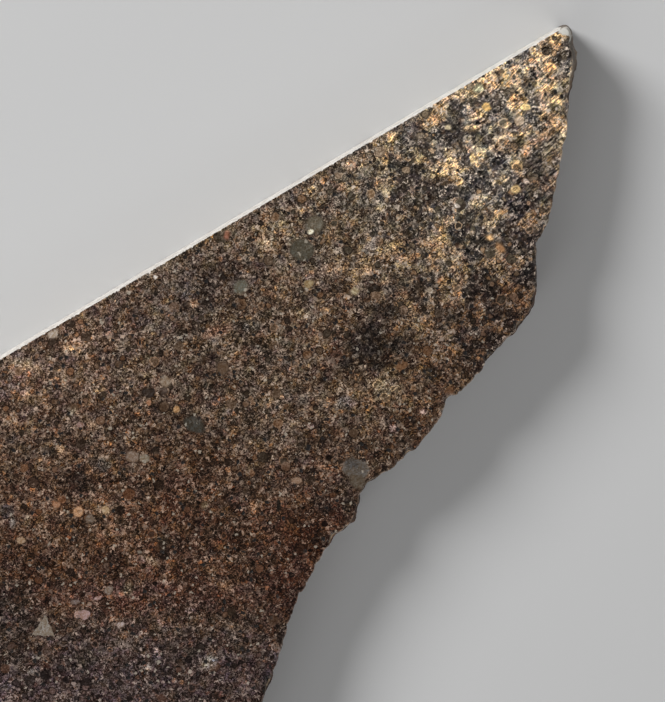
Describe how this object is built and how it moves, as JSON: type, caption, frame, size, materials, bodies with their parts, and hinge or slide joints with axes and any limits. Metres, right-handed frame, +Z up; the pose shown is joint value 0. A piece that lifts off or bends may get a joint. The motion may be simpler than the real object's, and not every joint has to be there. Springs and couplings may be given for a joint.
{
  "type": "chondrite meteorite slice",
  "caption": "Part slice of a chondrite meteorite: a thin stone slab with a polished face, one straight sawn edge and a natural weathered rim.",
  "frame": {"origin": "centre of the bounding box's bottom, on the sawn back face that the slab lies on", "axes": "+X along the straight sawn edge towards the tip, +Y out of the sawn edge, +Z up out of the polished face"},
  "size_m": [0.098, 0.0478, 0.006],
  "materials": {
    "chondrite": "polished face, sawn back and edge, weathered rim"
  },
  "bodies": {
    "root": {"slice": "chondrite"}
  },
  "joints": []
}
